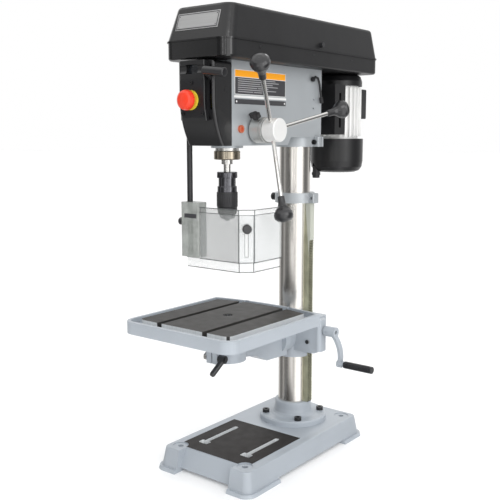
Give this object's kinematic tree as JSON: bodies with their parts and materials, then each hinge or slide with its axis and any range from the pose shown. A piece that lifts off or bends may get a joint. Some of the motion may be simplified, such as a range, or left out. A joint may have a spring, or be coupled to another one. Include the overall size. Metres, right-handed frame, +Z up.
{
  "type": "pillar drill press",
  "caption": "Bench pillar drill press: cast base, steel column with rack, tilting slotted table, geared head with belt drive, rear motor, star-handle feed, chuck and clear guard.",
  "frame": {"origin": "centre of the base's four bolt holes, on the floor plane", "axes": "+Z up along the column; the operator stands at -Y; the feed handles are on +X"},
  "size_m": [0.382, 0.686, 0.995],
  "materials": {
    "cast_paint": "smooth light blue-grey enamel on cast iron",
    "head_paint": "silver-grey paint on cast iron",
    "black_paint": "gloss black paint on sheet steel",
    "column_steel": "ground and polished steel tube",
    "steel": "machined steel",
    "dark_steel": "blackened steel",
    "bright_zinc": "yellow zinc plated steel",
    "chrome": "bright chrome plate",
    "table_iron": "ground grey iron",
    "black_plastic": "gloss black moulding",
    "matte_black": "fine matte black moulding",
    "panel": "printed dark panel",
    "display": "dark display lens",
    "yellow_plastic": "yellow moulding",
    "red_plastic": "red moulding",
    "clear_guard": "clear moulded guard",
    "aluminium": "cast aluminium, off-white paint",
    "rubber": "ribbed belt rubber"
  },
  "bodies": {
    "stand": {"base": "cast_paint", "column_flange": "cast_paint", "flange_bolts": "steel", "column": "column_steel", "rack_collar": "chrome", "head_casting": "head_paint", "head_fasteners": "dark_steel", "front_housing": "black_paint", "control_panel": "panel", "display_window": "display", "estop_body": "yellow_plastic", "cover_pan": "black_paint", "spring_cap": "black_paint", "return_spring": "steel", "guard_clamp": "black_paint", "motor_bracket": "black_paint", "motor_body": "aluminium", "motor_end_bell": "black_paint", "fan_cowl": "black_paint", "terminal_box": "matte_black", "cable_gland": "matte_black", "drive_belt": "rubber"},
    "rack_ring": {"rack": "bright_zinc"},
    "bracket": {"table_bracket": "cast_paint", "bracket_bolts": "steel"},
    "pinion": {"rack_pinion": "steel"},
    "crank": {"worm_shaft": "steel", "crank_arm": "cast_paint"},
    "crank_handle": {"crank_grip": "black_plastic"},
    "arm": {"table_arm": "cast_paint"},
    "work_table": {"table": "table_iron"},
    "lock_lever": {"table_lock_lever": "dark_steel"},
    "quill_unit": {"quill": "steel", "quill_collar": "chrome", "quill_bearings": "steel"},
    "spindle_unit": {"spindle": "steel", "chuck_body": "chrome"},
    "sleeve": {"chuck_sleeve": "steel"},
    "jaws": {"chuck_jaws": "dark_steel"},
    "driven_pulley": {"spindle_pulley": "steel"},
    "moving_sheave": {"spindle_sheave": "steel"},
    "rotor": {"motor_rotor": "steel", "motor_pulley": "steel"},
    "feed": {"feed_shaft": "steel", "feed_hub": "steel", "feed_arms": "chrome", "feed_knobs": "black_plastic"},
    "stop_ring": {"depth_ring": "steel"},
    "stop_knob": {"depth_lock_knob": "matte_black"},
    "speed_arm": {"speed_lever": "dark_steel", "speed_grip": "black_plastic"},
    "tension_lever": {"motor_lock_lever": "dark_steel"},
    "button": {"estop_button": "red_plastic"},
    "guard": {"guard_rod": "steel", "guard_shield": "clear_guard"},
    "lower_guard": {"guard_lower_shield": "clear_guard"},
    "shield_knob": {"guard_shield_knob": "black_plastic"},
    "rod_knob": {"guard_rod_knob": "black_plastic"},
    "lid": {"cover_lid": "black_paint"},
    "latch": {"lid_latch_knob": "black_plastic"}
  },
  "joints": [
    {"name": "table_swivel", "type": "hinge", "parent": "stand", "child": "rack_ring", "pos_m": [0, 0.115, 0.26], "axis": [0, 0, 1], "range_deg": [-90, 90]},
    {"name": "table_lift", "type": "slide", "parent": "rack_ring", "child": "bracket", "axis": [0, 0, 1], "range_m": [-0.11, 0.1]},
    {"name": "pinion_turn", "type": "hinge", "parent": "bracket", "child": "pinion", "pos_m": [0.06725, 0.115, 0.2587], "axis": [0, 1, 0], "range_deg": [-331.4, 364.1]},
    {"name": "crank_turn", "type": "hinge", "parent": "bracket", "child": "crank", "pos_m": [0.12, 0.093, 0.288], "axis": [1, 0, 0], "range_deg": [-9383.8, 8532.5]},
    {"name": "crank_grip_spin", "type": "hinge", "parent": "crank", "child": "crank_handle", "pos_m": [0.19, 0.093, 0.216], "axis": [1, 0, 0], "continuous": true},
    {"name": "table_tilt", "type": "hinge", "parent": "bracket", "child": "arm", "pos_m": [0, 0.04, 0.262], "axis": [0, 1, 0], "range_deg": [-45, 45]},
    {"name": "table_rotate", "type": "hinge", "parent": "arm", "child": "work_table", "pos_m": [0, -0.136, 0.3], "axis": [0, 0, 1], "range_deg": [-90, 90]},
    {"name": "table_lock", "type": "hinge", "parent": "arm", "child": "lock_lever", "pos_m": [0, -0.183, 0.268], "axis": [1, 0, 0], "range_deg": [-40, 40]},
    {"name": "quill_feed", "type": "slide", "parent": "stand", "child": "quill_unit", "axis": [0, 0, -1], "range_m": [0, 0.08], "stiffness_N_per_m": 400, "springref_m": -0.2},
    {"name": "feed_turn", "type": "hinge", "parent": "stand", "child": "feed", "pos_m": [0, -0.099, 0.75], "axis": [1, 0, 0], "range_deg": [0, 354]},
    {"name": "depth_ring_set", "type": "hinge", "parent": "feed", "child": "stop_ring", "pos_m": [0.065, -0.099, 0.75], "axis": [1, 0, 0], "range_deg": [0, 330]},
    {"name": "depth_lock", "type": "hinge", "parent": "stop_ring", "child": "stop_knob", "pos_m": [0.0645, -0.099, 0.75], "axis": [0, -0.63, 0.7766], "range_deg": [-180, 180]},
    {"name": "spindle_spin", "type": "hinge", "parent": "quill_unit", "child": "spindle_unit", "pos_m": [0, -0.136, 0.75], "axis": [0, 0, 1], "continuous": true},
    {"name": "pulley_spin", "type": "hinge", "parent": "stand", "child": "driven_pulley", "pos_m": [0, -0.136, 0.92], "axis": [0, 0, 1], "continuous": true},
    {"name": "motor_spin", "type": "hinge", "parent": "stand", "child": "rotor", "pos_m": [0, 0.3, 0.8], "axis": [0, 0, 1], "continuous": true},
    {"name": "chuck_tighten", "type": "hinge", "parent": "spindle_unit", "child": "sleeve", "pos_m": [0, -0.136, 0.6], "axis": [0, 0, 1], "range_deg": [0, 1440]},
    {"name": "jaw_slide", "type": "slide", "parent": "spindle_unit", "child": "jaws", "axis": [0, 0, -1], "range_m": [0, 0.0121]},
    {"name": "speed_change", "type": "hinge", "parent": "stand", "child": "speed_arm", "pos_m": [0.045, -0.195, 0.83], "axis": [1, 0, 0], "range_deg": [0, 45]},
    {"name": "sheave_slide", "type": "slide", "parent": "driven_pulley", "child": "moving_sheave", "axis": [0, 0, -1], "range_m": [0, 0.0091], "deforming": ["drive_belt"]},
    {"name": "motor_lock", "type": "hinge", "parent": "stand", "child": "tension_lever", "pos_m": [0.045, 0.111, 0.866], "axis": [1, 0, 0], "range_deg": [-25, 25]},
    {"name": "estop_press", "type": "slide", "parent": "stand", "child": "button", "axis": [0, 1, 0], "range_m": [0, 0.004], "stiffness_N_per_m": 1500, "springref_m": -0.004},
    {"name": "guard_swing", "type": "hinge", "parent": "stand", "child": "guard", "pos_m": [-0.06, -0.187, 0.65], "axis": [0, 0, 1], "range_deg": [-100, 0]},
    {"name": "shield_slide", "type": "slide", "parent": "guard", "child": "lower_guard", "axis": [0, 0, -1], "range_m": [0, 0.05]},
    {"name": "shield_knob_turn", "type": "hinge", "parent": "lower_guard", "child": "shield_knob", "pos_m": [0.0915, -0.1855, 0.553], "axis": [0.7071, -0.7071, 0], "range_deg": [-180, 180]},
    {"name": "rod_knob_turn", "type": "hinge", "parent": "guard", "child": "rod_knob", "pos_m": [-0.0743, -0.187, 0.557], "axis": [-1, 0, 0], "range_deg": [-180, 180]},
    {"name": "lid_open", "type": "hinge", "parent": "stand", "child": "lid", "pos_m": [-0.0892, 0.05, 0.927], "axis": [0, 1, 0], "range_deg": [-95, 0]},
    {"name": "latch_turn", "type": "hinge", "parent": "lid", "child": "latch", "pos_m": [0.083, 0.089, 0.938], "axis": [1, 0, 0], "range_deg": [0, 90]}
  ],
  "couplings": [
    {"joint": "pinion_turn", "follows": "table_lift", "rad_per_m": -57.143},
    {"joint": "crank_turn", "follows": "table_lift", "rad_per_m": 1485.7},
    {"joint": "feed_turn", "follows": "quill_feed", "rad_per_m": 76.191},
    {"joint": "pulley_spin", "follows": "spindle_spin", "ratio": 1},
    {"joint": "motor_spin", "follows": "spindle_spin", "ratio": 1.3158},
    {"joint": "jaw_slide", "follows": "chuck_tighten", "m_per_rad": 0.0004775},
    {"joint": "sheave_slide", "follows": "speed_change", "m_per_rad": 0.011459}
  ]
}
